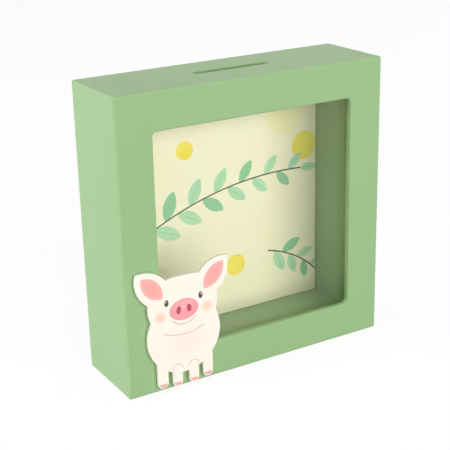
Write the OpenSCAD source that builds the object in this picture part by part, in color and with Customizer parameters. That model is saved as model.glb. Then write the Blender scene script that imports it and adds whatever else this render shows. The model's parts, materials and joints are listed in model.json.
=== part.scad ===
// Money box in the form of a square shadow-box frame. Four mitred side boards
// carry a window ring in front and a loose back board behind. Coins drop in
// through a slot in the top board and show behind the glass pane. Four turn
// buttons hold the back board, and a flat pig plaque is stuck on the ring.
// Origin: centre of the base. +X right, +Y from front to back, +Z up.

/* [Box] */
// Width of the box
box_w = 150; // [120:1:200]
// Height of the box
box_h = 150; // [120:1:200]
// Depth of the box from the ring's face to the rear rim
box_d = 45; // [36:1:70]
// Thickness of the four side boards
board_t = 10; // [9:0.5:14]
// Radius of the rounded outer edges
edge_r = 1; // [0.5:0.1:2]

/* [Front ring] */
// Thickness of the ring
ring_t = 3; // [2.5:0.5:5]
// Width of the ring's four bars
ring_w = 19; // [16:0.5:26]
// Radius in the corners of the window
window_r = 2.5; // [1:0.5:8]

/* [Coin slot] */
// Length of the slot
slot_l = 43; // [30:1:60]
// Width of the slot
slot_w = 5; // [4.5:0.1:7]

/* [Glass pane] */
// Thickness of the pane
pane_t = 2; // [1.5:0.5:3]
// Width of the rebate that takes the pane's edge
pane_rebate = 3; // [2:0.5:4]
// Gap between the pane's edge and its rebate
pane_clear = 0.3; // [0.1:0.1:0.5]
// Play of the pane between the ring and its rebate
pane_play = 0.1; // [0:0.05:0.2]

/* [Back board] */
// Thickness of the back board
back_t = 2.5; // [2:0.5:4]
// Width of the rebate that takes the back board's edge
back_rebate = 3; // [2.5:0.5:3.5]
// Gap between the back board's edge and its rebate
back_clear = 0.5; // [0.2:0.1:0.8]
// Thickness of the printed card on the back board
card_t = 0.3; // [0.2:0.05:0.5]
// Gap between the printed card and the side boards
card_clear = 0.3; // [0.1:0.1:1]

/* [Turn buttons] */
// Width of a turn button
button_w = 6; // [5:0.5:7]
// Thickness of a turn button
button_t = 1; // [0.8:0.1:1.5]
// Distance from the pivot to a button's tip
button_reach = 14; // [11:0.5:20]
// Distance between the two buttons on one side
button_spread = 80; // [50:1:90]
// Play under and over a button
button_play = 0.1; // [0.05:0.05:0.2]
// Gap between a button turned aside and the back board's edge
button_free = 0.1; // [0.05:0.05:0.3]
// Radial clearance of a button on its screw
button_fit = 0.05; // [0.02:0.01:0.1]

/* [Screws] */
// Radius of the screw's shank
screw_r = 1.25; // [1:0.05:1.5]
// Depth of the screw in the board
screw_depth = 10; // [6:1:16]
// Radius of the screw's head
screw_head_r = 2.5; // [2.2:0.1:3]
// Height of the screw's head
screw_head_h = 1.6; // [1.2:0.1:2]
// Width of the cross recess
recess_w = 0.7; // [0.5:0.1:0.9]
// Length of the cross recess
recess_l = 2.8; // [2:0.1:3.2]
// Depth of the cross recess
recess_depth = 1; // [0.6:0.1:1.1]

/* [Corner wedges] */
// Length of a wedge's two legs
wedge_leg = 6; // [4:0.5:8]
// Thickness of a wedge's steel
wedge_t = 0.5; // [0.3:0.1:0.8]
// Depth of a wedge in the mitre
wedge_depth = 10; // [6:1:14]

/* [Plaque] */
// Distance of the plaque's centre line from the box's left side
plaque_x = 30; // [26:0.5:60]
// Height of the plaque's feet above the base
plaque_z = 1.5; // [0.5:0.5:20]
// Thickness of the plaque's board
plaque_t = 2; // [1.5:0.5:4]
// Thickness of the printed sheet on the plaque
sheet_t = 0.2; // [0.1:0.05:0.3]
// Bare margin around the printed sheet
sheet_margin = 0.6; // [0.3:0.1:1.2]
// Thickness of the adhesive behind the plaque
tape_t = 0.5; // [0.3:0.1:1]
// Margin between the adhesive and the edges that it stays inside
tape_margin = 1.5; // [1:0.5:3]

/* [Pig figure] */
// Radius of the body
body_r = 20; // [18:0.5:22]
// Height of the body's centre above the feet
body_z = 27; // [25:0.5:29]
// Radius of the head's round sides
head_r = 15; // [13:0.5:17]
// Distance between the centres of the head's round sides
head_spread = 8; // [4:0.5:12]
// Height of the head's centre above the feet
head_z = 43; // [40:0.5:46]
// Length of an ear
ear_l = 26; // [22:0.5:28]
// Width of an ear
ear_w = 15; // [11:0.5:17]
// Lean of an ear from upright, in degrees
ear_lean = 42; // [30:1:50]
// Distance of an ear's middle from the centre line
ear_x = 15.8; // [13:0.2:17]
// Height of an ear's middle above the feet
ear_z = 53.4; // [50:0.2:56]
// Width of a leg
leg_w = 5.5; // [5.5:0.5:7]
// Radius of a foot's corners
foot_r = 2.5; // [1.5:0.25:2.5]
// Distance of a front leg from the centre line
front_leg_x = 4.6; // [4.2:0.1:5.2]
// Distance of a rear leg from the centre line
rear_leg_x = 12.6; // [11.8:0.2:14]
// Height of the rear feet above the front feet
rear_leg_rise = 1; // [0:0.5:4]

/* [Hidden] */
$fn = 64;
cut = 1; // how far a cut runs past the face that it opens

// Planes along the depth, from front to back
front_y = -box_d / 2;
ring_back_y = front_y + ring_t;
pane_seat_y = ring_back_y + pane_t + pane_play;
rear_y = box_d / 2;
back_seat_y = rear_y - back_t;
button_y = rear_y + button_play;
screw_head_y = button_y + button_t + button_play;
plaque_y = front_y - tape_t;

// Openings across the box
inner_w = box_w - 2 * board_t;
inner_h = box_h - 2 * board_t;
window_w = box_w - 2 * ring_w;
window_h = box_h - 2 * ring_w;

// Middle of the rim that the rebates leave, measured from the outer faces
rim_inset = (board_t - max(pane_rebate, back_rebate)) / 2;

// Pivots stand back far enough for the back board to lift out past the buttons
pivot_inset = board_t - back_rebate + back_clear - button_free - button_w / 2;
pivot_x = box_w / 2 - pivot_inset;
pivot_z = button_spread / 2;
mitre = board_t + cut;

// The middle of the plaque's feet, seen on the box's face
plaque_cx = plaque_x - box_w / 2;
plaque_cz = plaque_z - box_h / 2;

// Colours
paint = "#a1c290";
steel = "#b9bcbf";

// An outline drawn on the box's face, x right and z up from the face's
// centre, made solid between two planes of the depth
module slab(y0, y1) {
    translate([0, y1, box_h / 2])
        rotate([90, 0, 0])
            linear_extrude(y1 - y0)
                children();
}

module rounded_rect(w, h, r) {
    square([w - 2 * r, h], center = true);
    square([w, h - 2 * r], center = true);
    for (x = [-1, 1], y = [-1, 1])
        translate([x * (w / 2 - r), y * (h / 2 - r)])
            circle(r);
}

// The whole outside of the box, with every outer edge rounded
module rounded_block() {
    intersection() {
        slab(front_y, rear_y)
            rounded_rect(box_w, box_h, edge_r);
        linear_extrude(box_h)
            rounded_rect(box_w, box_d, edge_r);
        translate([0, 0, box_h / 2])
            rotate([90, 0, 90])
                linear_extrude(box_w, center = true)
                    rounded_rect(box_d, box_h, edge_r);
    }
}

module front_ring() {
    color(paint)
        difference() {
            intersection() {
                rounded_block();
                slab(front_y - cut, ring_back_y)
                    square([box_w + 2 * cut, box_h + 2 * cut], center = true);
            }
            slab(front_y - cut, ring_back_y + cut)
                rounded_rect(window_w, window_h, window_r);
        }
}

// All four side boards in one, with the rebates for the pane and the back
module side_frame() {
    difference() {
        intersection() {
            rounded_block();
            slab(ring_back_y, rear_y + cut)
                square([box_w + 2 * cut, box_h + 2 * cut], center = true);
        }
        slab(ring_back_y - cut, rear_y + cut)
            square([inner_w, inner_h], center = true);
        slab(ring_back_y - cut, pane_seat_y)
            square([inner_w + 2 * pane_rebate, inner_h + 2 * pane_rebate], center = true);
        slab(back_seat_y, rear_y + cut)
            square([inner_w + 2 * back_rebate, inner_h + 2 * back_rebate], center = true);
        wedge_set();
    }
}

// The side of the frame that lies between two mitres: turned 0 it is the top
module mitred_side(along, across, turn) {
    slab(front_y - cut, rear_y + cut)
        rotate(turn)
            polygon([
                [-along / 2 - cut, across / 2 + cut],
                [along / 2 + cut, across / 2 + cut],
                [along / 2 - mitre, across / 2 - mitre],
                [-along / 2 + mitre, across / 2 - mitre]
            ]);
}

module coin_slot() {
    straight = slot_l - slot_w;
    translate([0, 0, box_h - board_t - cut])
        linear_extrude(board_t + 2 * cut) {
            square([straight, slot_w], center = true);
            for (x = [-1, 1])
                translate([x * straight / 2, 0])
                    circle(slot_w / 2);
        }
}

module top_board() {
    color(paint)
        difference() {
            intersection() {
                side_frame();
                mitred_side(box_w, box_h, 0);
            }
            coin_slot();
        }
}

module bottom_board() {
    color(paint)
        intersection() {
            side_frame();
            mitred_side(box_w, box_h, 180);
        }
}

module left_board() {
    color(paint)
        intersection() {
            side_frame_drilled();
            mitred_side(box_h, box_w, 90);
        }
}

module right_board() {
    color(paint)
        intersection() {
            side_frame_drilled();
            mitred_side(box_h, box_w, -90);
        }
}

module side_frame_drilled() {
    difference() {
        side_frame();
        at_pivots()
            along_depth(rear_y - screw_depth, rear_y + cut)
                circle(screw_r);
    }
}

// One L of thin steel across a mitre, with its legs along the two boards
module wedge_outline() {
    translate([-wedge_leg, -wedge_t / 2])
        square([wedge_leg + wedge_t / 2, wedge_t]);
    translate([-wedge_t / 2, -wedge_leg])
        square([wedge_t, wedge_leg + wedge_t / 2]);
}

// A wedge at each corner, driven in from the front and from the back
module wedge_set() {
    corners = [[1, 1], [-1, 1], [-1, -1], [1, -1]];
    for (y = [ring_back_y, rear_y - wedge_depth], k = [0:3])
        slab(y, y + wedge_depth)
            translate([
                corners[k][0] * (box_w / 2 - rim_inset),
                corners[k][1] * (box_h / 2 - rim_inset)
            ])
                rotate(90 * k)
                    wedge_outline();
}

module corner_wedges() {
    color(steel)
        wedge_set();
}

module window_pane() {
    side_w = inner_w + 2 * (pane_rebate - pane_clear);
    side_h = inner_h + 2 * (pane_rebate - pane_clear);
    color("#e4f0ec", 0.35)
        slab(ring_back_y, ring_back_y + pane_t)
            square([side_w, side_h], center = true);
}

module print_card() {
    color("#faf6d0")
        slab(back_seat_y - card_t, back_seat_y)
            square([inner_w - 2 * card_clear, inner_h - 2 * card_clear], center = true);
}

module back_board() {
    side_w = inner_w + 2 * (back_rebate - back_clear);
    side_h = inner_h + 2 * (back_rebate - back_clear);
    color("#9c7a55")
        slab(back_seat_y, rear_y)
            square([side_w, side_h], center = true);
}

// Children at the four pivots, with the origin in the middle of the depth
module at_pivots() {
    for (x = [-1, 1], z = [-1, 1])
        translate([x * pivot_x, 0, box_h / 2 + z * pivot_z])
            children();
}

module along_depth(y0, y1) {
    translate([0, y1, 0])
        rotate([90, 0, 0])
            linear_extrude(y1 - y0)
                children();
}

module button_screw() {
    along_depth(rear_y - screw_depth, screw_head_y)
        circle(screw_r);
    difference() {
        along_depth(screw_head_y, screw_head_y + screw_head_h)
            circle(screw_head_r);
        along_depth(screw_head_y + screw_head_h - recess_depth, screw_head_y + screw_head_h + cut) {
            square([recess_l, recess_w], center = true);
            square([recess_w, recess_l], center = true);
        }
    }
}

module button_screws() {
    color(steel)
        at_pivots()
            button_screw();
}

// A closed button at one pivot, with its tip over the back board
module turn_button(x, z) {
    arm = button_reach - button_w / 2;
    color(steel)
        translate([x * pivot_x, 0, box_h / 2 + z * pivot_z])
            along_depth(button_y, button_y + button_t)
                difference() {
                    union() {
                        circle(button_w / 2);
                        translate([-x * arm, 0])
                            circle(button_w / 2);
                        translate([-x * arm / 2, 0])
                            square([arm, button_w], center = true);
                    }
                    circle(screw_r + button_fit);
                }
}

module upper_left_button() {
    turn_button(-1, 1);
}

module lower_left_button() {
    turn_button(-1, -1);
}

module upper_right_button() {
    turn_button(1, 1);
}

module lower_right_button() {
    turn_button(1, -1);
}

// A pointed leaf between two arcs, standing upright
module leaf(l, w, inset) {
    r = (l * l + w * w) / (4 * w);
    intersection() {
        translate([r - w / 2, 0])
            circle(r - inset);
        translate([w / 2 - r, 0])
            circle(r - inset);
    }
}

// A leg from its foot up to the middle of the body
module leg(rise, inset) {
    h = body_z - rise;
    translate([0, rise + h / 2])
        rounded_rect(leg_w - 2 * inset, h - 2 * inset, foot_r - inset);
}

// The pig seen from in front, from the middle of its feet, or the same
// outline drawn in by an inset all round
module pig_outline(inset) {
    translate([0, body_z])
        circle(body_r - inset);
    translate([0, head_z])
        square([head_spread, 2 * (head_r - inset)], center = true);
    for (side = [-1, 1]) {
        translate([side * head_spread / 2, head_z])
            circle(head_r - inset);
        translate([side * ear_x, ear_z])
            rotate(-side * ear_lean)
                leaf(ear_l, ear_w, inset);
        translate([side * front_leg_x, 0])
            leg(0, inset);
        translate([side * rear_leg_x, 0])
            leg(rear_leg_rise, inset);
    }
}

module pig_plaque() {
    color("#fdf6e8")
        slab(plaque_y - plaque_t, plaque_y)
            translate([plaque_cx, plaque_cz])
                pig_outline(0);
}

module plaque_sheet() {
    color("#fde4dc")
        slab(plaque_y - plaque_t - sheet_t, plaque_y - plaque_t)
            translate([plaque_cx, plaque_cz])
                pig_outline(sheet_margin);
}

// Adhesive where the pig's body lies on the ring
module plaque_tape() {
    clear_w = window_w + 2 * tape_margin;
    clear_h = window_h + 2 * tape_margin;
    color("#f4f4f0")
        slab(plaque_y, front_y)
            difference() {
                translate([plaque_cx, plaque_cz + body_z])
                    circle(body_r - tape_margin);
                square([clear_w, clear_h], center = true);
            }
}

front_ring();
top_board();
bottom_board();
left_board();
right_board();
corner_wedges();
window_pane();
print_card();
back_board();
button_screws();
upper_left_button();
lower_left_button();
upper_right_button();
lower_right_button();
pig_plaque();
plaque_sheet();
plaque_tape();
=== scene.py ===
"""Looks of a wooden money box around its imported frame.

A square shadow-box in sage green satin paint: a window ring and four mitred
side boards, a glass pane, a printed card on a hardboard back, four steel turn
buttons on pan-head screws, and a flat printed pig plaque on the ring.
Lengths are in metres, except that the prints are drawn in millimetres.
"""

import json
import logging
import math
from dataclasses import dataclass
from enum import Enum
from typing import Iterable, Sequence, Union

import bmesh
import bpy
from mathutils import Matrix, Quaternion, Vector


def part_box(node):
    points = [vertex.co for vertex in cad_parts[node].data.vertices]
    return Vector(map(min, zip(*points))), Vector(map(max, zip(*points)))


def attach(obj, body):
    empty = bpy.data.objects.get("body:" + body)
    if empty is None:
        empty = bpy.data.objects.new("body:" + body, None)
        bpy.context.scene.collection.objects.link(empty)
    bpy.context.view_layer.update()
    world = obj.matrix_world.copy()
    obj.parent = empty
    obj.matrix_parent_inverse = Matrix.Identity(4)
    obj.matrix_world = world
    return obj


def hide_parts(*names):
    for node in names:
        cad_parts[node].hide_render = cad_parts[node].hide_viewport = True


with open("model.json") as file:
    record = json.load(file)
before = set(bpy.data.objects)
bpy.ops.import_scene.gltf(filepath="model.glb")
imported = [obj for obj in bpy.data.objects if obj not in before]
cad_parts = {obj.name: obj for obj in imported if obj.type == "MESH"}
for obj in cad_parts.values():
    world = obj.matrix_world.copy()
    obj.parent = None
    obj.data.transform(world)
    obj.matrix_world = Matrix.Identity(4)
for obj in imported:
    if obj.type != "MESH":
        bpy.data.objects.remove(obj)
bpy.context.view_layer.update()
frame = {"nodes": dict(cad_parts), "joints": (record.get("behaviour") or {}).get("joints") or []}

MM = 0.001
X, Y, Z = 0, 1, 2
TOUCH = 1e-6  # how close two places are to count as one
SHARP = math.radians(35)  # steeper edges stay sharp under smooth shading
ROOT = "box"  # the body of all but the turn buttons

log = logging.getLogger("money_box")

Socket = bpy.types.NodeSocket
Shape = bmesh.types.BMesh
Edge = bmesh.types.BMEdge
Face = bmesh.types.BMFace
Pair = tuple[float, float]
Point = Pair  # across and up on a print, in millimetres
Triple = tuple[float, float, float]
Colour = tuple[float, float, float, float]
Tint = Union[Colour, Socket]  # a colour, even or varying over a surface
Number = Union["Value", float]  # a number, even or varying over a surface

WHITE: Colour = (1.0, 1.0, 1.0, 1.0)


# ---- shader maths

MIX_SHARE, MIX_BELOW, MIX_ABOVE, MIX_RESULT = 0, 6, 7, 2  # a Mix node's colour sockets


class Value:
    """A number that varies over a surface, held as a node's output socket."""

    def __init__(self, graph: "Graph", socket: Socket) -> None:
        """Wraps an output socket of the graph that carries one number."""
        self.graph = graph
        self.socket = socket

    def math(self, operation: str, *values: Number) -> "Value":
        """The result of a Math node with this operation on these values."""
        node = self.graph.node("ShaderNodeMath", {"operation": operation}, dict(enumerate(values)))
        return Value(self.graph, node.outputs[0])

    def __add__(self, other: Number) -> "Value":
        """Self plus other."""
        return self.math("ADD", self, other)

    __radd__ = __add__

    def __sub__(self, other: Number) -> "Value":
        """Self less other."""
        return self.math("SUBTRACT", self, other)

    def __rsub__(self, other: Number) -> "Value":
        """Other less self."""
        return self.math("SUBTRACT", other, self)

    def __mul__(self, other: Number) -> "Value":
        """Self times other."""
        return self.math("MULTIPLY", self, other)

    __rmul__ = __mul__

    def __abs__(self) -> "Value":
        """Self without its sign."""
        return self.math("ABSOLUTE", self)

    def sine(self) -> "Value":
        """The sine of self, in radians."""
        return self.math("SINE", self)

    def most(self, other: Number) -> "Value":
        """The larger of self and other."""
        return self.math("MAXIMUM", self, other)

    def rise(self, low: float, high: float) -> "Value":
        """A smooth step.

        Args:
            low: where the step starts at 0.
            high: where it ends at 1; it may lie below low.

        Returns:
            The step's height at self.
        """
        flipped = high < low
        node = self.graph.node(
            "ShaderNodeMapRange",
            {"interpolation_type": "SMOOTHSTEP"},
            {
                "Value": self,
                "From Min": min(low, high),
                "From Max": max(low, high),
                "To Min": float(flipped),
                "To Max": float(not flipped),
            },
        )
        return Value(self.graph, node.outputs[0])


class Graph:
    """The nodes of one material or world."""

    def __init__(self, tree: bpy.types.NodeTree) -> None:
        """Clears a node tree and starts an empty graph in it."""
        self.tree = tree
        tree.nodes.clear()

    def node(
        self,
        kind: str,
        settings: dict[str, object] | None = None,
        inputs: dict[int | str, object] | None = None,
    ) -> bpy.types.Node:
        """Makes any node.

        Args:
            kind: the node's type.
            settings: its properties, which are set first.
            inputs: a value or a link for each named or numbered input.

        Returns:
            The new node.
        """
        made = self.tree.nodes.new(kind)
        for name, setting in (settings or {}).items():
            setattr(made, name, setting)
        for key, value in (inputs or {}).items():
            given = value.socket if isinstance(value, Value) else value
            if isinstance(given, Socket):
                self.tree.links.new(given, made.inputs[key])
            else:
                made.inputs[key].default_value = given
        return made

    def place(self) -> Socket:
        """The point on the object, in metres."""
        return self.node("ShaderNodeTexCoord").outputs["Object"]

    def mapped(
        self,
        vector: Socket,
        location: Sequence[float] = (0, 0, 0),
        scale: Sequence[float] = (1, 1, 1),
        tilt: float = 0.0,
        kind: str = "POINT",
    ) -> Socket:
        """Moves, turns and scales a pattern's space.

        Args:
            vector: the point to map.
            location: the shift, or a shape's centre where kind is TEXTURE.
            scale: the scale, or a shape's half sizes where kind is TEXTURE.
            tilt: the turn about the depth axis, in radians.
            kind: POINT, or TEXTURE for the inverse, into a shape's own space.

        Returns:
            The mapped point.
        """
        node = self.node(
            "ShaderNodeMapping",
            {"vector_type": kind},
            {"Vector": vector, "Location": location, "Rotation": (0, tilt, 0), "Scale": scale},
        )
        return node.outputs[0]

    def parts(self, vector: Socket) -> list[Value]:
        """The X, Y and Z of a vector."""
        node = self.node("ShaderNodeSeparateXYZ", None, {0: vector})
        return [Value(self, socket) for socket in node.outputs]

    def distance(self, vector: Socket, centre: Sequence[float] = (0, 0, 0)) -> Value:
        """How far a vector's point is from a centre."""
        node = self.node("ShaderNodeVectorMath", {"operation": "DISTANCE"}, {0: vector, 1: centre})
        return Value(self, node.outputs["Value"])

    def noise(
        self, vector: Socket, grain: float, detail: float, roughness: float = 0.5
    ) -> Value:
        """Soft random blotches from 0 to 1.

        Args:
            vector: the point.
            grain: the size of a blotch, in the point's unit.
            detail: how many finer layers are added.
            roughness: how strong the finer layers are.

        Returns:
            The noise at the point.
        """
        node = self.node(
            "ShaderNodeTexNoise",
            None,
            {"Vector": vector, "Scale": 1 / grain, "Detail": detail, "Roughness": roughness},
        )
        return Value(self, node.outputs[0])

    def streaks(
        self,
        place: Socket,
        density: Sequence[float],
        detail: float,
        roughness: float = 0.5,
        tilt: float = 0.0,
    ) -> Value:
        """Noise drawn out to a number of streaks per metre along each axis."""
        return self.noise(self.mapped(place, scale=density, tilt=tilt), 1.0, detail, roughness)

    def mix(self, share: Number, below: Tint, above: Tint) -> Socket:
        """Lays a share, from 0 to 1, of one colour over another."""
        inputs = {MIX_SHARE: share, MIX_BELOW: below, MIX_ABOVE: above}
        return self.node("ShaderNodeMix", {"data_type": "RGBA"}, inputs).outputs[MIX_RESULT]

    def bump(self, height: Value, depth: float) -> Socket:
        """The normal of a relief from 0 to 1 that is really so many metres deep."""
        inputs = {"Height": height, "Distance": depth, "Strength": 1.0}
        return self.node("ShaderNodeBump", None, inputs).outputs[0]

    def close(self, shader: bpy.types.Node, kind: str = "ShaderNodeOutputMaterial") -> None:
        """Ends the graph with a shader at its output node."""
        self.node(kind, None, {0: shader.outputs[0]})

    def close_mixed(self, share: Value, below: bpy.types.Node, above: bpy.types.Node) -> None:
        """Ends the graph with a share of one shader over another."""
        shaders = {0: share, 1: below.outputs[0], 2: above.outputs[0]}
        self.close(self.node("ShaderNodeMixShader", None, shaders))


def ink(red: int, green: int, blue: int) -> Colour:
    """A colour given by its display values, through the sRGB curve.

    Args:
        red: from 0 to 255.
        green: from 0 to 255.
        blue: from 0 to 255.

    Returns:
        The colour in linear light, with full alpha.
    """
    shares = [value / 255 for value in (red, green, blue)]
    linear = [s / 12.92 if s <= 0.04045 else ((s + 0.055) / 1.055) ** 2.4 for s in shares]
    return (*linear, 1.0)


# ---- finishes


@dataclass(frozen=True)
class Stain:
    """A colour that comes through where a noise is high.

    It starts to show at low, and from high on it shows at its full strength.
    """

    low: float
    high: float
    strength: float
    colour: Colour

    def over(self, graph: Graph, tone: Tint, noise: Value) -> Socket:
        """Lays the stain over a tone.

        Args:
            graph: the material's graph.
            tone: the colour below it.
            noise: what it follows.

        Returns:
            The stained tone.
        """
        share = noise.rise(self.low, self.high)
        if self.strength < 1:
            share = share * self.strength
        return graph.mix(share, tone, self.colour)


@dataclass(frozen=True)
class Finish:
    """What all finishes share: a name, a colour and a gloss."""

    name: str
    colour: Colour
    roughness: float

    def material(self) -> bpy.types.Material:
        """Makes the finish's material, or finds it if it is there already.

        Returns:
            The material.
        """
        made = bpy.data.materials.get(self.name)
        if made is None:
            made = bpy.data.materials.new(self.name)
            made.use_nodes = True
            self.paint(Graph(made.node_tree))
        return made

    def paint(self, graph: Graph) -> None:
        """Builds the finish's nodes in the material's empty graph."""
        raise NotImplementedError

    @staticmethod
    def skin(
        graph: Graph, tone: Tint, gloss: Value, relief: Value, depth: float, metallic: float = 0.0
    ) -> None:
        """Closes a graph with one Principled shader.

        Args:
            graph: the material's graph.
            tone: the colour.
            gloss: the roughness.
            relief: the height of the surface's grain, from 0 to 1.
            depth: the grain's real depth in metres.
            metallic: 1 for bare metal.
        """
        inputs = {
            "Base Color": tone,
            "Roughness": gloss,
            "Metallic": metallic,
            "Normal": graph.bump(relief, depth),
        }
        graph.close(graph.node("ShaderNodeBsdfPrincipled", None, inputs))


@dataclass(frozen=True)
class SatinPaint(Finish):
    """Sprayed satin paint over sanded fibreboard, between two corners of a box."""

    low: Vector
    high: Vector
    cloud: float = 38 * MM
    cloud_shade: float = 0.94
    stipple: float = 0.9 * MM
    stipple_shade: float = 1.07
    stipple_depth: float = 0.012 * MM
    edge: float = 1.6 * MM
    edge_core: float = 0.32 * MM
    # grain, shade and share of the lighter outer edges: rubbed wear plus a painted highlight
    wear_and_highlight_grain: float = 5 * MM
    wear_and_highlight_shade: float = 1.08
    wear_and_highlight_strength: float = 0.3

    def paint(self, graph: Graph) -> None:
        """Builds faint clouds, a fine stipple and lighter outer edges, partly rubbed wear and
        partly a painted highlight.

        Args:
            graph: the material's empty graph.
        """
        place = graph.place()
        clouds = graph.noise(place, self.cloud, 3)
        stipple = graph.noise(place, self.stipple, 3, 0.55)
        # outer edges painted lighter: partly rubbed wear, partly a painted highlight along the
        # rounded edges
        worn_and_lit_edges = self._outer_edges(graph, place) * graph.noise(place, self.wear_and_highlight_grain, 3).rise(0.35, 0.75)
        cloudy = Stain(0.3, 0.7, 0.35, self._shade(self.cloud_shade))
        tone = cloudy.over(graph, self.colour, clouds)
        stippled = Stain(0.35, 0.75, 0.22, self._shade(self.stipple_shade))
        tone = stippled.over(graph, tone, stipple)
        tone = graph.mix(worn_and_lit_edges * self.wear_and_highlight_strength, tone, self._shade(self.wear_and_highlight_shade))
        gloss = self.roughness + 0.1 * clouds - 0.05 * stipple - 0.06 * worn_and_lit_edges
        self.skin(graph, tone, gloss, stipple, self.stipple_depth)

    def _shade(self, factor: float) -> Colour:
        """The paint's colour, made lighter or darker."""
        return (*(min(1.0, c * factor) for c in self.colour[:3]), 1.0)

    def _outer_edges(self, graph: Graph, place: Socket) -> Value:
        """Finds the box's outer edges, where two outer faces are near.

        Args:
            graph: the material's graph.
            place: the point on the object.

        Returns:
            1 on the edges and 0 away from them.
        """
        middle = (self.low + self.high) / 2
        reach = (self.high - self.low) / 2
        centred = graph.parts(graph.mapped(place, location=-middle))
        gaps = [half - abs(part) for half, part in zip(reach, centred)]
        farthest = gaps[0].most(gaps[1]).most(gaps[2])
        two_nearest = gaps[0] + gaps[1] + gaps[2] - farthest
        return two_nearest.rise(self.edge, self.edge_core)


@dataclass(frozen=True)
class PlatedSteel(Finish):
    """Zinc-plated sheet steel with fine rolling lines and dull spots."""

    grain: Triple = (6 * MM, 1 * MM, 0.12 * MM)
    line_depth: float = 0.006 * MM
    blotch: float = 2.2 * MM
    blotch_strength: float = 0.55
    dull: Colour = ink(168, 166, 158)

    def paint(self, graph: Graph) -> None:
        """Builds rolling lines along the sheet and a blotched plating.

        Args:
            graph: the material's empty graph.
        """
        place = graph.place()
        lines = graph.streaks(place, [1 / g for g in self.grain], 4, 0.6)
        blotches = graph.noise(place, self.blotch, 4, 0.6).rise(0.35, 0.7)
        tone = graph.mix(blotches * self.blotch_strength, self.colour, self.dull)
        gloss = self.roughness + 0.16 * blotches + 0.12 * lines
        self.skin(graph, tone, gloss, lines, self.line_depth, metallic=1.0)


@dataclass(frozen=True)
class Hardboard(Finish):
    """Pressed wood fibre with the weave of the press screen on its back."""

    screen_pitch: float = 1.5 * MM
    screen_depth: float = 0.09 * MM
    hollow_shade_strength: float = 0.35
    fibres: Triple = (260, 900, 1500)
    crossed: Triple = (1400, 900, 300)
    cross_tilt: float = 0.5
    fleck: float = 1.3 * MM
    cloud: float = 30 * MM

    PALE_FIBRE = Stain(0.35, 0.7, 1.0, ink(172, 137, 98))
    DARK_FIBRE = Stain(0.45, 0.75, 0.6, ink(118, 86, 56))
    FLECK = Stain(0.6, 0.72, 0.55, ink(88, 60, 38))
    CLOUD = Stain(0.35, 0.7, 0.3, ink(136, 104, 70))
    # painted shade: the colour laid in the press screen's hollows
    PAINTED_HOLLOW_SHADE = ink(104, 76, 50)

    def paint(self, graph: Graph) -> None:
        """Builds matted fibres, dark flecks and the screen's weave, with painted shade darkening
        the weave's hollows.

        Args:
            graph: the material's empty graph.
        """
        place = graph.place()
        fibres = graph.streaks(place, self.fibres, 5, 0.7)
        crossed = graph.streaks(place, self.crossed, 5, 0.7, self.cross_tilt)
        tone = self.PALE_FIBRE.over(graph, self.colour, fibres)
        tone = self.DARK_FIBRE.over(graph, tone, crossed)
        tone = self.FLECK.over(graph, tone, graph.noise(place, self.fleck, 3, 0.7))
        tone = self.CLOUD.over(graph, tone, graph.noise(place, self.cloud, 3))
        weave = self._weave(graph, place)
        # painted shade: the weave's hollows are darkened
        tone = graph.mix((1 - weave) * self.hollow_shade_strength, tone, self.PAINTED_HOLLOW_SHADE)
        relief = 0.7 * weave + 0.3 * fibres
        self.skin(graph, tone, self.roughness + 0.12 * fibres, relief, self.screen_depth)

    def _weave(self, graph: Graph, place: Socket) -> Value:
        """Square lumps, one for each opening of the press screen."""
        across, _, up = graph.parts(graph.mapped(place, scale=[math.pi / self.screen_pitch] * 3))
        return abs(across.sine()) * abs(up.sine())


@dataclass(frozen=True)
class CutBoard(Finish):
    """White plaque board with a smooth laser-cut edge."""

    grain: float = 0.35 * MM
    grain_depth: float = 0.008 * MM
    cloud: float = 6 * MM
    layers: Triple = (120, 5200, 120)

    WARM = Stain(0.35, 0.7, 0.5, ink(250, 240, 222))
    LAYER = Stain(0.5, 0.75, 0.35, ink(240, 228, 206))

    def paint(self, graph: Graph) -> None:
        """Builds a faint grain, warmer places and the board's thin layers.

        Args:
            graph: the material's empty graph.
        """
        place = graph.place()
        grain = graph.noise(place, self.grain, 3, 0.6)
        tone = self.WARM.over(graph, self.colour, graph.noise(place, self.cloud, 3))
        tone = self.LAYER.over(graph, tone, graph.streaks(place, self.layers, 3, 0.6))
        self.skin(graph, tone, self.roughness + 0.1 * grain, grain, self.grain_depth)


@dataclass(frozen=True)
class FoamTape(Finish):
    """Closed-cell foam with a film of adhesive."""

    cell: float = 0.35 * MM
    cell_depth: float = 0.05 * MM

    GLUE = Stain(0.2, 0.7, 0.6, ink(214, 214, 206))

    def paint(self, graph: Graph) -> None:
        """Builds the foam's small cells.

        Args:
            graph: the material's empty graph.
        """
        inputs = {"Vector": graph.place(), "Scale": 1 / self.cell}
        cells = graph.node("ShaderNodeTexVoronoi", {"feature": "F1"}, inputs)
        depth = Value(graph, cells.outputs["Distance"])
        tone = self.GLUE.over(graph, self.colour, depth)
        self.skin(graph, tone, self.roughness + 0.1 * depth, depth, self.cell_depth)


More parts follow.
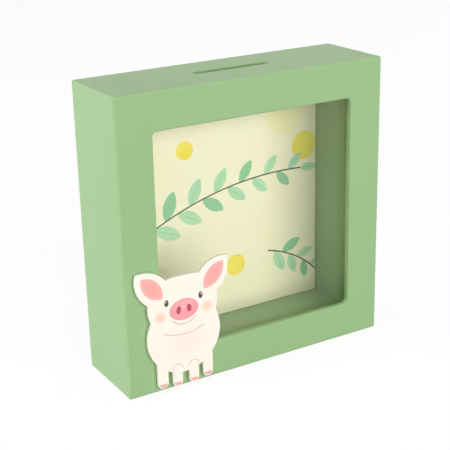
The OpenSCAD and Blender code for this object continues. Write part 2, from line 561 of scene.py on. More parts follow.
@dataclass(frozen=True)
class PaneGlass(Finish):
    """Clear float glass that lets the lamps through."""

    straight_on: float = 0.03
    slant_power: float = 5.0
    smears: Triple = (22, 22, 60)
    smear_haze: float = 0.03

    def paint(self, graph: Graph) -> None:
        """Builds a clear body with mirror reflections that grow at a slant.

        Args:
            graph: the material's empty graph.
        """
        smears = graph.streaks(graph.place(), self.smears, 3)
        haze = self.roughness + self.smear_haze * smears
        body = graph.node("ShaderNodeBsdfTransparent", None, {"Color": self.colour})
        mirror = graph.node("ShaderNodeBsdfGlossy", None, {"Roughness": haze})
        weight = graph.node("ShaderNodeLayerWeight", None, {"Blend": 0.5})
        slant = Value(graph, weight.outputs["Facing"])
        grown = slant.math("POWER", slant, self.slant_power)
        graph.close_mixed(self.straight_on + (1 - self.straight_on) * grown, body, mirror)


# ---- prints

PRINT_SOFT = 0.14  # how wide a print's edge blurs


def step(start: Point, angle_deg: float, reach: float) -> Point:
    """The point at a distance from another, at an angle to the right of up."""
    turn = math.radians(angle_deg)
    return (start[0] + reach * math.sin(turn), start[1] + reach * math.cos(turn))


class Canvas:
    """A flat print on a vertical face, drawn in millimetres from its origin."""

    def __init__(self, graph: Graph, origin: Vector, paper: Tint, folded: bool) -> None:
        """Lays out the paper.

        Args:
            graph: the material's graph.
            origin: the drawing's origin on the object, in metres.
            paper: the paper's colour.
            folded: whether the left half repeats the right half.
        """
        self.graph = graph
        self.colour = paper
        shift = (-origin.x / MM, 0, -origin.z / MM)
        self.point = graph.mapped(graph.place(), location=shift, scale=(1 / MM, 0, 1 / MM))
        self.across, _, self.up = graph.parts(self.point)
        if folded:
            self.across = abs(self.across)
            node = graph.node("ShaderNodeCombineXYZ", None, {X: self.across, Z: self.up})
            self.point = node.outputs[0]

    def disc(self, centre: Point, radius: float) -> Value:
        """How far outside a disc a point is, below 0 inside it."""
        return self.graph.distance(self.point, (centre[0], 0, centre[1])) - radius

    def oval(self, centre: Point, half: Point, tilt_deg: float = 0.0) -> Value:
        """Distance outside an oval's line.

        Args:
            centre: the oval's centre.
            half: its half sizes, across and up.
            tilt_deg: its lean to the right.

        Returns:
            The distance, below 0 inside the oval.
        """
        at = self.graph.mapped(
            self.point,
            location=(centre[0], 0, centre[1]),
            scale=(half[0], 1, half[1]),
            tilt=math.radians(tilt_deg),
            kind="TEXTURE",
        )
        return (self.graph.distance(at) - 1) * min(half)

    def leaf(self, centre: Point, length: float, width: float, tilt_deg: float) -> Value:
        """Distance outside a pointed leaf between two arcs.

        Args:
            centre: the leaf's middle.
            length: from tip to tip.
            width: across the middle.
            tilt_deg: the lean from upright to the right.

        Returns:
            The distance, below 0 inside the leaf.
        """
        radius = (length**2 + width**2) / (4 * width)
        hubs = [step(centre, tilt_deg + side, radius - width / 2) for side in (-90, 90)]
        left, right = (self.disc(hub, radius) for hub in hubs)
        return left.most(right)

    def lay(
        self, shape: Value, colour: Tint, strength: float = 1.0, soft: float = PRINT_SOFT
    ) -> None:
        """Prints a colour inside a shape.

        Args:
            shape: the distance outside the shape.
            colour: the ink.
            strength: how opaque the ink is.
            soft: the width of the shape's soft edge.
        """
        share = shape.rise(soft / 2, -soft / 2)
        if strength < 1:
            share = share * strength
        self.colour = self.graph.mix(share, self.colour, colour)


@dataclass(frozen=True)
class Sprig:
    """A thin bowed stem with pointed leaves on both sides.

    The stem lies on a circle, between two angles from straight up. The leaves
    start past its bare part and get smaller to its tip.
    """

    centre: Point
    radius: float
    start_deg: float
    end_deg: float
    leaves: int
    leaf_length: float
    leaf_width: float
    splay_deg: float = 48.0
    stem_width: float = 0.75
    bare: float = 0.12
    taper: float = 0.35
    rib_length: float = 0.8
    rib_width: float = 0.55
    rib_strength: float = 0.8

    def draw(self, canvas: Canvas, green: Tint, dark_green: Tint, stem: Tint) -> None:
        """Prints the sprig.

        Args:
            canvas: the print to draw on.
            green: the leaves' colour.
            dark_green: the colour of every third leaf and the midribs.
            stem: the stem's colour.
        """
        for number in range(self.leaves):
            self._draw_leaf(canvas, number, green, dark_green)
        ring = abs(canvas.disc(self.centre, self.radius)) - self.stem_width / 2
        middle = math.radians((self.start_deg + self.end_deg) / 2)
        spread = math.radians((self.end_deg - self.start_deg) / 2)
        away = canvas.across * math.cos(middle) - canvas.up * math.sin(middle)
        offset = self.centre[0] * math.cos(middle) - self.centre[1] * math.sin(middle)
        past_end = abs(away - offset) - self.radius * math.sin(spread)
        canvas.lay(ring.most(past_end), stem)

    def _draw_leaf(self, canvas: Canvas, number: int, green: Tint, dark_green: Tint) -> None:
        """Prints one leaf and its midrib.

        Args:
            canvas: the print to draw on.
            number: the leaf's number from the root; the last one ends the stem.
            green: the leaves' colour.
            dark_green: the colour of every third leaf and the midribs.
        """
        share = number / (self.leaves - 1)
        side = 1 if number % 2 else -1
        size = 1 - self.taper * share
        length = self.leaf_length * size
        along = self.bare + (1 - self.bare) * share
        angle = self.start_deg + (self.end_deg - self.start_deg) * along
        splay = 0.0 if number == self.leaves - 1 else side * self.splay_deg
        tilt = angle + 90 - splay
        root = step(self.centre, angle, self.radius)
        middle = step(root, tilt, length / 2)
        shape = canvas.leaf(middle, length, self.leaf_width * size, tilt)
        canvas.lay(shape, dark_green if number % 3 == 1 else green)
        rib = canvas.leaf(middle, self.rib_length * length, self.rib_width, tilt)
        canvas.lay(rib, dark_green, self.rib_strength)


@dataclass(frozen=True)
class Print(Finish):
    """A printed sheet with a faint tooth and a wash, drawn around an origin."""

    origin: Vector
    tooth: float = 0.25 * MM
    tooth_depth: float = 0.004 * MM
    wash: float = 24 * MM

    FOLDED = False
    SHEET_WASH = Stain(0.3, 0.7, 0.4, WHITE)

    def paint(self, graph: Graph) -> None:
        """Builds the sheet and its print.

        Args:
            graph: the material's empty graph.
        """
        place = graph.place()
        tooth = graph.noise(place, self.tooth, 3, 0.6)
        wash = graph.noise(place, self.wash, 2)
        sheet = self.SHEET_WASH.over(graph, self.colour, wash)
        canvas = Canvas(graph, self.origin, sheet, self.FOLDED)
        self.draw(canvas, wash)
        self.skin(graph, canvas.colour, self.roughness + 0.1 * tooth, tooth, self.tooth_depth)

    def draw(self, canvas: Canvas, wash: Value) -> None:
        """Draws the print on its canvas, with a soft noise for uneven inks."""
        raise NotImplementedError


@dataclass(frozen=True)
class CardPrint(Print):
    """Matt printed card: sprigs and plain discs on cream."""

    DISCS = (
        ((-46.0, 47.0), 9.5),
        ((-17.0, 31.0), 5.0),
        ((30.0, 50.0), 6.5),
        ((57.0, 22.0), 8.0),
        ((-60.0, -2.0), 7.5),
        ((12.0, -38.0), 6.0),
        ((-30.0, -52.0), 4.5),
    )
    PALE_DISCS = (((-30.0, 53.0), 8.0), ((44.0, 41.0), 11.0), ((-58.0, 20.0), 6.0))
    SPRIGS = (
        Sprig((42.0, -170.0), 180.0, -30.0, 4.0, 13, 17.0, 7.6),
        Sprig((20.0, -95.0), 62.0, 12.0, 46.0, 7, 14.0, 6.4),
    )
    SHEET_WASH = Stain(0.3, 0.7, 0.4, ink(255, 251, 224))
    PALE_GOLD, PALE_GOLD_STRENGTH = ink(253, 245, 184), 0.8
    GOLD, GOLD_WASH = ink(254, 238, 96), Stain(0.35, 0.65, 1.0, ink(252, 228, 66))
    MINT, MINT_WASH = ink(192, 234, 190), Stain(0.35, 0.65, 1.0, ink(180, 224, 180))
    DARK_MINT, STEM = ink(148, 206, 156), ink(56, 64, 52)

    def draw(self, canvas: Canvas, wash: Value) -> None:
        """Prints the discs, then the sprigs over them.

        Args:
            canvas: the card's canvas.
            wash: a soft noise for uneven inks.
        """
        graph = canvas.graph
        for centre, radius in self.PALE_DISCS:
            canvas.lay(canvas.disc(centre, radius), self.PALE_GOLD, self.PALE_GOLD_STRENGTH)
        gold = self.GOLD_WASH.over(graph, self.GOLD, wash)
        for centre, radius in self.DISCS:
            canvas.lay(canvas.disc(centre, radius), gold)
        mint = self.MINT_WASH.over(graph, self.MINT, wash)
        for sprig in self.SPRIGS:
            sprig.draw(canvas, mint, self.DARK_MINT, self.STEM)


@dataclass(frozen=True)
class Spot:
    """A printed oval with a sharp or a soft edge."""

    centre: Point
    half: Point
    colour: Colour
    strength: float = 1.0
    soft: float = PRINT_SOFT
    tilt_deg: float = 0.0

    def draw(self, canvas: Canvas) -> None:
        """Prints the oval."""
        shape = canvas.oval(self.centre, self.half, self.tilt_deg)
        canvas.lay(shape, self.colour, self.strength, self.soft)


@dataclass(frozen=True)
class Crease:
    """A printed line along an oval, on one side of a level."""

    centre: Point
    half: Point
    level: float
    colour: Colour
    above: bool = False
    width: float = 0.3

    def draw(self, canvas: Canvas) -> None:
        """Prints the line.

        Args:
            canvas: the print to draw on.
        """
        line = abs(canvas.oval(self.centre, self.half)) - self.width / 2
        past = self.level - canvas.up if self.above else canvas.up - self.level
        canvas.lay(line.most(past), self.colour)


@dataclass(frozen=True)
class PigPrint(Print):
    """Printed face of the plaque: a plain pig seen from in front, on its feet."""

    tooth: float = 0.3 * MM
    wash: float = 9 * MM

    FOLDED = True
    SHEET_WASH = Stain(0.3, 0.7, 0.5, ink(249, 243, 233))
    BELLY = Spot((0, 22), (9, 7), ink(254, 232, 220), 0.7, 9.0)
    LEG_HALF = 2.75
    HOOVES = ((4.6, 2.4), (12.6, 3.4))  # the middle and the top of each
    HOOF_PINK, HOOF_STRENGTH, HOOF_SOFT = ink(240, 158, 154), 0.85, 0.6
    KNEE = Crease((4.6, 9.5), (LEG_HALF, LEG_HALF), 9.5, ink(228, 158, 148), above=True)
    CHIN = Crease((0, 32.7), (13.0, 5.2), 29.9, ink(228, 152, 142))
    EAR = ((16.9, 54.7), 16.6, 8.4, 42.0)
    EAR_PINK = ink(255, 180, 174)
    EAR_RIM, EAR_HOLLOW, HOLLOW_STRENGTH, HOLLOW_SOFT = 1.4, ink(250, 160, 158), 0.6, 2.6
    FACE = {
        "cheek": Spot((12.7, 39.1), (2.6, 2.4), ink(250, 200, 168), 0.7, 2.4),
        "eye": Spot((9.4, 45.7), (1.15, 1.75), ink(82, 62, 62)),
        "glint": Spot((9.75, 46.4), (0.32, 0.4), ink(250, 246, 240)),
        "mouth": Crease((0, 37.1), (6.5, 4.2), 35.7, ink(196, 128, 112)),
        "snout rim": Spot((0, 40.5), (7.9, 5.5), ink(236, 140, 150)),
        "snout": Spot((0, 40.5), (7.55, 5.15), ink(248, 160, 166)),
        "snout top": Spot((0, 42.7), (5.2, 1.9), ink(252, 178, 178), 0.8, 2.0),
        "nostril": Spot((2.9, 40.6), (1.25, 2.1), ink(184, 72, 100), tilt_deg=-8),
    }

    def draw(self, canvas: Canvas, wash: Value) -> None:
        """Prints the pig from its belly to its snout.

        Args:
            canvas: the plaque's canvas.
            wash: a soft noise, which these even inks leave alone.
        """
        self.BELLY.draw(canvas)
        for middle, top in self.HOOVES:
            hoof = (abs(canvas.across - middle) - self.LEG_HALF).most(canvas.up - top)
            canvas.lay(hoof, self.HOOF_PINK, self.HOOF_STRENGTH, self.HOOF_SOFT)
        self.KNEE.draw(canvas)
        self.CHIN.draw(canvas)
        ear = canvas.leaf(*self.EAR)
        canvas.lay(ear, self.EAR_PINK)
        canvas.lay(ear + self.EAR_RIM, self.EAR_HOLLOW, self.HOLLOW_STRENGTH, self.HOLLOW_SOFT)
        for mark in self.FACE.values():
            mark.draw(canvas)


# ---- mesh workbench


def block(low: Vector, high: Vector) -> Shape:
    """A box as a new bmesh.

    Args:
        low: its lowest corner.
        high: its highest corner.

    Returns:
        The bmesh.
    """
    shape = bmesh.new()
    size = high - low
    stand = Matrix.Translation((low + high) / 2) @ Matrix.Diagonal((*size, 1))
    bmesh.ops.create_cube(shape, size=1, matrix=stand)
    return shape


def packed_shape(node: str) -> Shape:
    """Copies a CAD node and joins its loose triangles.

    Args:
        node: the node's name.

    Returns:
        The copy, as a bmesh.
    """
    shape = bmesh.new()
    shape.from_mesh(frame["nodes"][node].data)
    bmesh.ops.remove_doubles(shape, verts=shape.verts, dist=TOUCH)
    return shape


def on_plane(item: Edge | Face, axis: int, place: float) -> bool:
    """Whether an edge or a face lies in a plane across an axis."""
    return all(abs(vert.co[axis] - place) < TOUCH for vert in item.verts)


def in_order(items: Iterable[object]) -> list[object]:
    """The items without repeats, in the same order each run, which a set has not."""
    return list(dict.fromkeys(items))


def verts_of(geom: Iterable[object]) -> list[bmesh.types.BMVert]:
    """The vertices among what an operator made."""
    return [item for item in geom if isinstance(item, bmesh.types.BMVert)]


def round_edges(
    shape: Shape, geom: Iterable[object], radius: float, steps: int, affect: str = "EDGES"
) -> None:
    """Rounds edges, or the corners of a flat outline.

    Args:
        shape: the bmesh.
        geom: the edges, or the corners where affect is VERTICES.
        radius: the round's radius.
        steps: how many flats make a round.
        affect: EDGES or VERTICES.
    """
    bmesh.ops.bevel(
        shape,
        geom=list(geom),
        offset=radius,
        offset_type="OFFSET",
        segments=steps,
        profile=0.5,
        affect=affect,
        material=-1,
        clamp_overlap=False,
    )


def round_outer_edges(
    shape: Shape, planes: Sequence[tuple[int, float]], radius: float, steps: int
) -> None:
    """Rounds each edge where two outer planes, each an axis and a place, meet."""
    edges = [e for e in shape.edges if sum(on_plane(e, axis, place) for axis, place in planes) > 1]
    round_edges(shape, edges, radius, steps)


def fill_around(shape: Shape, border: Sequence[Edge], rim: Sequence[Edge]) -> None:
    """Fills the flat face between its border and a hole's rim."""
    edges = [*border, *rim]
    bmesh.ops.triangle_fill(shape, use_beauty=True, use_dissolve=False, edges=edges)


@dataclass(frozen=True)
class Hole:
    """A rounded rectangle cut straight through a wall."""

    axis: int
    centre: Vector
    width: float
    height: float
    radius: float
    steps: int = 8
    ease_steps: int = 4

    @property
    def halves(self) -> dict[int, float]:
        """Half of the hole's size along each axis that it lies across."""
        across, up = [axis for axis in (X, Y, Z) if axis != self.axis]
        return {across: self.width / 2, up: self.height / 2}

    def outline(self, shape: Shape, place: float) -> list[Edge]:
        """Draws the hole's rim in one plane.

        Args:
            shape: the bmesh to draw in.
            place: the plane's place on the hole's axis.

        Returns:
            The rim's edges.
        """
        corners = []
        for signs in ((-1, -1), (1, -1), (1, 1), (-1, 1)):
            corner = self.centre.copy()
            corner[self.axis] = place
            for sign, (axis, half) in zip(signs, self.halves.items()):
                corner[axis] += sign * half
            corners.append(shape.verts.new(corner))
        face = shape.faces.new(corners)
        before = {f for f in shape.faces if f is not face}
        round_edges(shape, corners, self.radius, self.steps, "VERTICES")
        drawn = [f for f in shape.faces if f not in before]
        points = in_order(v for f in drawn for v in f.verts)
        bmesh.ops.remove_doubles(shape, verts=points, dist=TOUCH)
        drawn = [f for f in shape.faces if f not in before]
        rim = in_order(e for f in drawn for e in f.edges)
        bmesh.ops.delete(shape, geom=drawn, context="FACES_ONLY")
        return rim

    def cut(self, shape: Shape, places: Pair, eases: Pair) -> None:
        """Cuts the hole between two flat faces and eases its two rims.

        Args:
            shape: the bmesh, with one flat face in each plane.
            places: the two faces' places on the hole's axis.
            eases: the radius of each face's rim.
        """
        rims = [self._open(shape, place) for place in places]
        bmesh.ops.bridge_loops(shape, edges=rims[0] + rims[1])
        for place, ease in zip(places, eases):
            rim = [e for e in shape.edges if on_plane(e, self.axis, place) and self._owns(e)]
            round_edges(shape, rim, ease, self.ease_steps)

    def _owns(self, edge: Edge) -> bool:
        """Tells the hole's own rim from the other edges of a cut face.

        Args:
            edge: an edge of the cut face.

        Returns:
            Whether the edge is on the rim.
        """
        place = edge.verts[0].co[self.axis]
        walled = any(not on_plane(face, self.axis, place) for face in edge.link_faces)
        return walled and all(
            abs(vert.co[axis] - self.centre[axis]) < half + TOUCH
            for vert in edge.verts
            for axis, half in self.halves.items()
        )

    def _open(self, shape: Shape, place: float) -> list[Edge]:
        """Opens the flat face in one plane around the hole's rim.

        Args:
            shape: the bmesh.
            place: the plane's place on the hole's axis.

        Returns:
            The rim's edges.
        """
        flat = [f for f in shape.faces if on_plane(f, self.axis, place)]
        border = [e for f in flat for e in f.edges if not all(g in flat for g in e.link_faces)]
        bmesh.ops.delete(shape, geom=flat, context="FACES_ONLY")
        rim = self.outline(shape, place)
        fill_around(shape, border, rim)
        return rim


def add_object(name: str, data: bpy.types.ID) -> bpy.types.Object:
    """Puts a new object in the scene, at the origin.

    Args:
        name: the object's name.
        data: its mesh, lamp or camera.

    Returns:
        The object.
    """
    made = bpy.data.objects.new(name, data)
    bpy.context.scene.collection.objects.link(made)
    return made


def dressed(name: str, shape: Shape, finish: Finish) -> bpy.types.Object:
    """Turns a bmesh into an object.

    Args:
        name: the object's name.
        shape: its bmesh, which is freed.
        finish: what it is dressed in.

    Returns:
        The object.
    """
    mesh = bpy.data.meshes.new(name)
    shape.to_mesh(mesh)
    shape.free()
    mesh.materials.append(finish.material())
    return add_object(name, mesh)


def add_piece(
    name: str, shape: Shape, finish: Finish, node: str, body: str = ROOT
) -> None:
    """Turns a finished bmesh into a piece of the money box.

    Args:
        name: the piece's name.
        shape: its bmesh, in the frame's own place, which is freed.
        finish: what it is dressed in.
        node: the CAD node that it is shown for.
        body: the CAD body that it moves with.
    """
    bmesh.ops.remove_doubles(shape, verts=shape.verts, dist=TOUCH)
    bmesh.ops.dissolve_degenerate(shape, edges=shape.edges, dist=TOUCH)
    bmesh.ops.recalc_face_normals(shape, faces=shape.faces)
    for face in shape.faces:
        face.smooth = True
    for edge in shape.edges:
        edge.smooth = edge.calc_face_angle(math.pi) < SHARP
    piece = dressed(name, shape, finish)
    shading = piece.modifiers.new("even_shading", "WEIGHTED_NORMAL")
    shading.keep_sharp = True
    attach(piece, body)
    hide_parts(node)
    log.info("%s: %d faces on %s", name, len(piece.data.polygons), body)


def dress_node(node: str, finish: Finish) -> None:
    """Gives a CAD node a finish, with its shape as packed.

    Args:
        node: the node's name.
        finish: what it is dressed in.
    """
    for slot in frame["nodes"][node].material_slots:
        slot.material = finish.material()
    log.info("%s: packed shape, %s", node, finish.name)


# ---- sub-assemblies

BOX_LOW, RING_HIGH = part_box("front_ring")
BOX_HIGH = Vector((RING_HIGH.x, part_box("back_board")[1].y, RING_HIGH.z))
BOX_MIDDLE = (BOX_LOW + BOX_HIGH) / 2

SAGE = SatinPaint("sage_satin_paint", ink(149, 183, 130), 0.40, BOX_LOW, BOX_HIGH)
ZINC = PlatedSteel("zinc_plated_steel", ink(206, 208, 210), 0.26)
WEDGE_STEEL = PlatedSteel("dull_wedge_steel", ink(172, 174, 176), 0.42)
BACKING = Hardboard("screened_hardboard", ink(158, 122, 84), 0.68)
PLAQUE_BOARD = CutBoard("white_plaque_board", ink(250, 247, 237), 0.5)
FOAM = FoamTape("foam_tape", ink(240, 240, 234), 0.75)
GLASS = PaneGlass("clear_pane_glass", (0.998, 1.0, 0.999, 1.0), 0.0)


class Side(Enum):
    """The four side boards, with their turns in degrees, clockwise from the top."""

    TOP = 0
    RIGHT = 90
    BOTTOM = 180
    LEFT = 270

    @property
    def node(self) -> str:
        """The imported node's name."""
        return f"{self.name.lower()}_board"


@dataclass
class BoxShell:
    """The painted case: the window ring and four mitred, rebated side boards."""

    edge_r: float = 1 * MM
    edge_steps: int = 6
    ring_w: float = 19 * MM
    window_r: float = 2.5 * MM
    rim_ease: float = 1 * MM
    seat_ease: float = 0.2 * MM
    slot_l: float = 43 * MM
    slot_w: float = 5 * MM
    slot_ease: float = 0.25 * MM
    pane_rebate: float = 3 * MM
    back_rebate: float = 3 * MM
    pane_play: float = 0.1 * MM

    def __post_init__(self) -> None:
        """Reads the planes of the case from the frame."""
        self.ring_back = RING_HIGH.y
        self.board_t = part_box("bottom_board")[1].z - BOX_LOW.z
        self.pane_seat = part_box("window_pane")[1].y + self.pane_play
        self.back_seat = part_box("back_board")[0].y

    def build(self) -> None:
        """Makes the ring and the four boards."""
        add_piece("window_ring", self._ring(), SAGE, "front_ring")
        for side in Side:
            add_piece(f"mitred_{side.node}", self._board(side), SAGE, side.node)

    def _ring(self) -> Shape:
        """Makes the flat ring with rounded outer edges and an eased window.

        Returns:
            The ring's bmesh.
        """
        shape = block(BOX_LOW, RING_HIGH)
        sides = [(axis, place[axis]) for axis in (X, Z) for place in (BOX_LOW, RING_HIGH)]
        round_outer_edges(shape, [*sides, (Y, BOX_LOW.y)], self.edge_r, self.edge_steps)
        width, _, height = BOX_HIGH - BOX_LOW
        bars = 2 * self.ring_w
        window = Hole(Y, BOX_MIDDLE, width - bars, height - bars, self.window_r)
        window.cut(shape, (BOX_LOW.y, self.ring_back), (self.rim_ease, self.seat_ease))
        return shape

    def _board(self, side: Side) -> Shape:
        """Makes a side board as if it were the top one and turns it into place.

        Args:
            side: which board.

        Returns:
            The board's bmesh.
        """
        reach = (BOX_HIGH - BOX_LOW) / 2
        level = side in (Side.TOP, Side.BOTTOM)
        half_long, half_up = (reach.x, reach.z) if level else (reach.z, reach.x)
        shape = self._rebated_bar(half_long, half_up)
        planes = [(X, -half_long), (X, half_long), (Y, BOX_HIGH.y), (Z, half_up)]
        round_outer_edges(shape, planes, self.edge_r, self.edge_steps)
        for end in (-1, 1):
            self._mitre(shape, end, half_long, half_up)
        if side is Side.TOP:
            slot = Hole(Z, Vector((0, 0, 0)), self.slot_l, self.slot_w, self.slot_w / 2)
            faces = (half_up, half_up - self.board_t)
            slot.cut(shape, faces, (self.slot_ease, self.slot_ease))
        turn = Matrix.Rotation(math.radians(side.value), 4, "Y")
        stand = Matrix.Translation((BOX_MIDDLE.x, 0, BOX_MIDDLE.z)) @ turn
        bmesh.ops.transform(shape, matrix=stand, verts=shape.verts)
        return shape

    def _rebated_bar(self, half_long: float, half_up: float) -> Shape:
        """A straight bar with the pane's and the back board's rebates.

        Args:
            half_long: half of the bar's length along X.
            half_up: the height of its outer face above the box's middle.

        Returns:
            The bar's bmesh.
        """
        inner = half_up - self.board_t
        profile = [
            (self.ring_back, half_up),
            (BOX_HIGH.y, half_up),
            (BOX_HIGH.y, inner + self.back_rebate),
            (self.back_seat, inner + self.back_rebate),
            (self.back_seat, inner),
            (self.pane_seat, inner),
            (self.pane_seat, inner + self.pane_rebate),
            (self.ring_back, inner + self.pane_rebate),
        ]
        shape = bmesh.new()
        end = shape.faces.new([shape.verts.new((-half_long, y, z)) for y, z in profile])
        far = verts_of(bmesh.ops.extrude_face_region(shape, geom=[end])["geom"])
        bmesh.ops.translate(shape, verts=far, vec=(2 * half_long, 0, 0))
        return shape

    @staticmethod
    def _mitre(shape: Shape, end: int, half_long: float, half_up: float) -> None:
        """Cuts one end at 45 degrees and closes it.

        Args:
            shape: the bar.
            end: -1 for the left end, 1 for the right.
            half_long: half of the bar's length.
            half_up: the height of its outer face.
        """
        bmesh.ops.bisect_plane(
            shape,
            geom=shape.verts[:] + shape.edges[:] + shape.faces[:],
            dist=0.1 * TOUCH,
            plane_co=(end * half_long, 0, half_up),
            plane_no=(end, 0, -1),
            clear_outer=True,
        )
        bmesh.ops.edgeloop_fill(shape, edges=[e for e in shape.edges if e.is_boundary])


@dataclass
class Glazing:
    """The pane, the printed card and the hardboard back."""

    back_ease: float = 0.35 * MM
    back_steps: int = 2

    def build(self) -> None:
        """Dresses the pane and the card, and makes the back board."""
        dress_node("window_pane", GLASS)
        low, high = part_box("print_card")
        card = CardPrint("printed_card_stock", ink(255, 248, 210), 0.5, (low + high) / 2)
        dress_node("print_card", card)
        shape = block(*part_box("back_board"))
        round_edges(shape, shape.edges, self.back_ease, self.back_steps)
        add_piece("hardboard_back", shape, BACKING, "back_board")


@dataclass
class CornerWedges:
    """The sheet-steel wedges that are driven across the mitres."""

    proud: float = 0.04 * MM

    def build(self) -> None:
        """Makes the wedges, whose rear ends stand a hair out of the paint."""
        shape = packed_shape("corner_wedges")
        ends = [v for v in shape.verts if abs(v.co.y - BOX_HIGH.y) < TOUCH]
        bmesh.ops.translate(shape, verts=ends, vec=(0, self.proud, 0))
        add_piece("driven_wedges", shape, WEDGE_STEEL, "corner_wedges")


@dataclass
class TurnButton:
    """A stamped steel turn button on its screw."""

    body: str
    pivot: Vector
    end_steps: int = 10
    ease: float = 0.22 * MM
    ease_steps: int = 3
    hole_r: float = 1.3 * MM
    hole_steps: int = 6
    hole_ease: float = 0.066 * MM

    def build(self) -> None:
        """Makes the button where the frame has it."""
        low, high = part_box(self.body)
        length, _, width = high - low
        faces = (low.y, high.y)
        shape = bmesh.new()
        blank = Hole(Y, (low + high) / 2, length, width, width / 2, self.end_steps)
        rims = [blank.outline(shape, place) for place in faces]
        for rim in rims:
            bmesh.ops.edgeloop_fill(shape, edges=rim)
        bmesh.ops.bridge_loops(shape, edges=rims[0] + rims[1])
        bmesh.ops.recalc_face_normals(shape, faces=shape.faces)
        round_edges(shape, rims[0] + rims[1], self.ease, self.ease_steps)
        bore = 2 * self.hole_r
        hole = Hole(Y, self.pivot, bore, bore, self.hole_r, self.hole_steps)
        hole.cut(shape, faces, (self.hole_ease, self.hole_ease))
        name = f"stamped_{self.body}"
        add_piece(name, shape, ZINC, self.body, self.body)


@dataclass
class PanScrews:
    """Four pan-head screws with a cross recess, one through each turn button."""

    pivots: Sequence[Vector]
    head_r: float = 2.5 * MM
    head_h: float = 1.6 * MM
    shoulder: float = 0.85 * MM
    shoulder_steps: int = 5
    shank_r: float = 1.25 * MM
    point: float = 2 * MM
    point_taper: float = 0.15
    recess_l: float = 2.8 * MM
    recess_w: float = 0.7 * MM
    recess_depth: float = 1 * MM
    recess_taper: float = 0.62
    sides: int = 32
    first_spin_deg: float = 17
    more_spin_deg: float = 31

    def build(self) -> None:
        """Makes the four screws as one piece, each driven home at its own turn."""
        low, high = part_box("button_screws")
        shape = bmesh.new()
        for number, pivot in enumerate(self.pivots):
            before = set(shape.verts)
            self._screw(shape, high.y - low.y)
            made = [v for v in shape.verts if v not in before]
            spin_deg = self.first_spin_deg + self.more_spin_deg * number
            spin = Matrix.Rotation(math.radians(spin_deg), 4, "Z")
            face_back = Matrix.Rotation(math.radians(-90), 4, "X")
            stand = Matrix.Translation((pivot.x, high.y, pivot.z)) @ face_back @ spin
            bmesh.ops.transform(shape, matrix=stand, verts=made)
        add_piece("pan_head_screws", shape, ZINC, "button_screws")

    def _screw(self, shape: Shape, length: float) -> None:
        """One screw, its head's top at Z = 0 and its shank along -Z.

        Args:
            shape: the bmesh to add it to.
            length: from the head's top to the point.
        """
        head = bmesh.ops.create_cone(
            shape,
            cap_ends=True,
            segments=self.sides,
            radius1=self.head_r,
            radius2=self.head_r,
            depth=self.head_h,
            matrix=Matrix.Translation((0, 0, -self.head_h / 2)),
        )["verts"]
        faces = in_order(f for v in head for f in v.link_faces)
        under = next(f for f in faces if on_plane(f, Z, -self.head_h))
        self._shank(shape, under, length)
        rim = [e for e in shape.edges if on_plane(e, Z, 0) and len(e.link_faces) == 2]
        round_edges(shape, rim, self.shoulder, self.shoulder_steps)
        self._recess(shape)

    def _shank(self, shape: Shape, under: Face, length: float) -> None:
        """Draws the shank and its point from the head's underside.

        Args:
            shape: the screw's bmesh.
            under: the head's underside.
            length: from the head's top to the point.
        """
        bmesh.ops.inset_region(shape, faces=[under], thickness=self.head_r - self.shank_r)
        straight = length - self.head_h - self.point
        for drop, taper in ((straight, 1.0), (self.point, self.point_taper)):
            under = bmesh.ops.extrude_discrete_faces(shape, faces=[under])["faces"][0]
            bmesh.ops.translate(shape, verts=under.verts[:], vec=(0, 0, -drop))
            bmesh.ops.scale(shape, verts=under.verts[:], vec=(taper, taper, 1))

    def _recess(self, shape: Shape) -> None:
        """Sinks the cross recess into the head's flat top.

        Args:
            shape: the screw's bmesh.
        """
        flat = next(f for f in shape.faces if on_plane(f, Z, 0))
        border = flat.edges[:]
        bmesh.ops.delete(shape, geom=[flat], context="FACES_ONLY")
        arm, half = self.recess_l / 2, self.recess_w / 2
        quarter = [Vector((arm, -half, 0)), Vector((arm, half, 0)), Vector((half, half, 0))]
        corners = [
            shape.verts.new(Matrix.Rotation(math.radians(90 * turn), 3, "Z") @ corner)
            for turn in range(4)
            for corner in quarter
        ]
        rim = [shape.edges.new(ends) for ends in zip(corners, corners[1:] + corners[:1])]
        fill_around(shape, border, rim)
        sunk = bmesh.ops.extrude_edge_only(shape, edges=rim)["geom"]
        floor = verts_of(sunk)
        bmesh.ops.translate(shape, verts=floor, vec=(0, 0, -self.recess_depth))
        bmesh.ops.scale(shape, verts=floor, vec=(self.recess_taper, self.recess_taper, 1))
        ends = [item for item in sunk if isinstance(item, Edge) and item.is_boundary]
        bmesh.ops.edgeloop_fill(shape, edges=ends)


@dataclass
class PigPlaque:
    """The cut-out board, its printed sheet and the tape behind it."""

    ease: float = 0.18 * MM
    ease_steps: int = 2

    def build(self) -> None:
        """Makes the board with eased edges and dresses the sheet and tape."""
        low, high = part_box("pig_plaque")
        feet = Vector(((low.x + high.x) / 2, low.y, low.z))
        board = self._board(low.y, high.y)
        add_piece("plaque_cutout", board, PLAQUE_BOARD, "pig_plaque")
        dress_node("plaque_sheet", PigPrint("printed_pig_sheet", ink(248, 239, 227), 0.42, feet))
        dress_node("plaque_tape", FOAM)

    def _board(self, front: float, back: float) -> Shape:
        """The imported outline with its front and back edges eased.

        Args:
            front: the place of the board's face.
            back: the place of its back.

        Returns:
            The board's bmesh.
        """
        shape = packed_shape("pig_plaque")
        for place in (front, back):
            flat = [f for f in shape.faces if on_plane(f, Y, place)]
            bmesh.ops.dissolve_faces(shape, faces=flat)
        rims = [e for e in shape.edges if on_plane(e, Y, front) or on_plane(e, Y, back)]
        round_edges(shape, rims, self.ease, self.ease_steps)
        return shape


# ---- studio


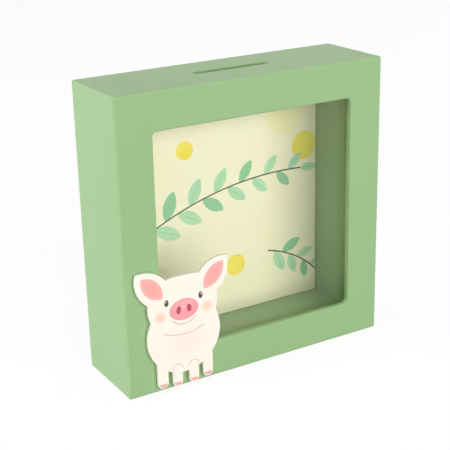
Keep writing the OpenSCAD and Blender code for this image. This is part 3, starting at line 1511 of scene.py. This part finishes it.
def seen(graph: Graph) -> Value:
    """Parts what is seen from what lights the object.

    Args:
        graph: the graph of a material or the world.

    Returns:
        1 for what the lens, a reflection or glass sees, and 0 for lighting.
    """
    path = graph.node("ShaderNodeLightPath")
    kinds = ("Is Camera Ray", "Is Glossy Ray", "Is Transmission Ray")
    camera, glossy, through = (Value(graph, path.outputs[kind]) for kind in kinds)
    return camera.most(glossy).most(through)


@dataclass(frozen=True)
class Backdrop(Finish):
    """Pale studio paper that keeps soft shadows."""

    glow: float = 0.72
    strength: float = 1.22

    def paint(self, graph: Graph) -> None:
        """Builds paper whose own light only the lens and reflections see.

        Args:
            graph: the material's empty graph.
        """
        paper = graph.node("ShaderNodeBsdfDiffuse", None, {"Color": self.colour})
        inputs = {"Color": WHITE, "Strength": self.strength}
        light = graph.node("ShaderNodeEmission", None, inputs)
        graph.close_mixed(seen(graph) * self.glow, paper, light)


PAPER = Backdrop("studio_paper", (0.52, 0.52, 0.52, 1.0), 1.0)


def aim(place: Vector, target: Vector) -> Quaternion:
    """The turn that points a lamp or a camera at a target."""
    return (target - place).to_track_quat("-Z", "Y")


@dataclass
class SoftBox:
    """A flat rectangular lamp that looks at the money box."""

    name: str
    place: Triple
    width: float
    height: float
    power: float
    in_gloss: bool = False

    def build(self, target: Vector) -> None:
        """Hangs the lamp.

        Args:
            target: the point that it looks at.
        """
        lamp = bpy.data.lights.new(self.name, "AREA")
        lamp.shape = "RECTANGLE"
        lamp.size = self.width
        lamp.size_y = self.height
        lamp.energy = self.power
        holder = add_object(self.name, lamp)
        holder.visible_glossy = self.in_gloss
        holder.location = self.place
        holder.rotation_euler = aim(Vector(self.place), target).to_euler()


@dataclass
class Studio:
    """Floor, world, lamps and camera."""

    floor_size: float = 12.0
    ambient: float = 0.2
    lens_mm: float = 87.9
    camera_place: Triple = (-0.2750, -0.4526, 0.2606)
    camera_target: Triple = (-0.0192, -0.0225, 0.0790)
    camera_roll_deg: float = -1.4

    LAMPS = (
        SoftBox("front_light", (0.14, -1.76, 0.43), 2.0, 1.0, 30.5),
        SoftBox("left_light", (-1.77, 0.15, 0.39), 0.9, 0.9, 23.5),
        SoftBox("top_light", (0.0, -0.2, 1.8), 1.2, 1.2, 7.5, in_gloss=True),
        SoftBox("back_light", (-1.0, 1.5, 0.38), 1.2, 0.7, 9.0),
        SoftBox("right_light", (1.75, 0.35, 0.45), 0.9, 0.9, 9.0),
    )

    def build(self) -> None:
        """Sets up the whole studio."""
        self._camera()
        self._floor()
        self._world()
        for lamp in self.LAMPS:
            lamp.build(BOX_MIDDLE)

    def _camera(self) -> None:
        """Places the camera, level but for a slight roll."""
        data = bpy.data.cameras.new("camera")
        data.lens = self.lens_mm
        camera = add_object("camera", data)
        place = Vector(self.camera_place)
        roll = Quaternion((0, 0, 1), math.radians(self.camera_roll_deg))
        camera.location = place
        camera.rotation_euler = (aim(place, Vector(self.camera_target)) @ roll).to_euler()
        bpy.context.scene.camera = camera

    def _floor(self) -> None:
        """Lays the floor under the money box."""
        shape = bmesh.new()
        bmesh.ops.create_grid(shape, x_segments=1, y_segments=1, size=self.floor_size / 2)
        dressed("studio_floor", shape, PAPER)

    def _world(self) -> None:
        """Lights the room softly, with a white background."""
        world = bpy.data.worlds.new("studio_world")
        world.use_nodes = True
        bpy.context.scene.world = world
        graph = Graph(world.node_tree)
        strength = self.ambient + seen(graph) * (1 - self.ambient)
        light = graph.node("ShaderNodeBackground", None, {"Color": WHITE, "Strength": strength})
        graph.close(light, "ShaderNodeOutputWorld")


def pivots() -> dict[str, Vector]:
    """Each turn button's body and its pivot, from the frame's joints."""
    return {joint["child"]: Vector(joint["pos_m"]) for joint in frame["joints"]}


def main() -> None:
    """Builds the studio and every sub-assembly in order."""
    logging.basicConfig(level=logging.INFO, format="%(name)s: %(message)s")
    bpy.context.scene.view_settings.view_transform = "Standard"
    Studio().build()
    BoxShell().build()
    Glazing().build()
    CornerWedges().build()
    for body, pivot in pivots().items():
        TurnButton(body, pivot).build()
    PanScrews(list(pivots().values())).build()
    PigPlaque().build()


if __name__ == "__main__":
    main()
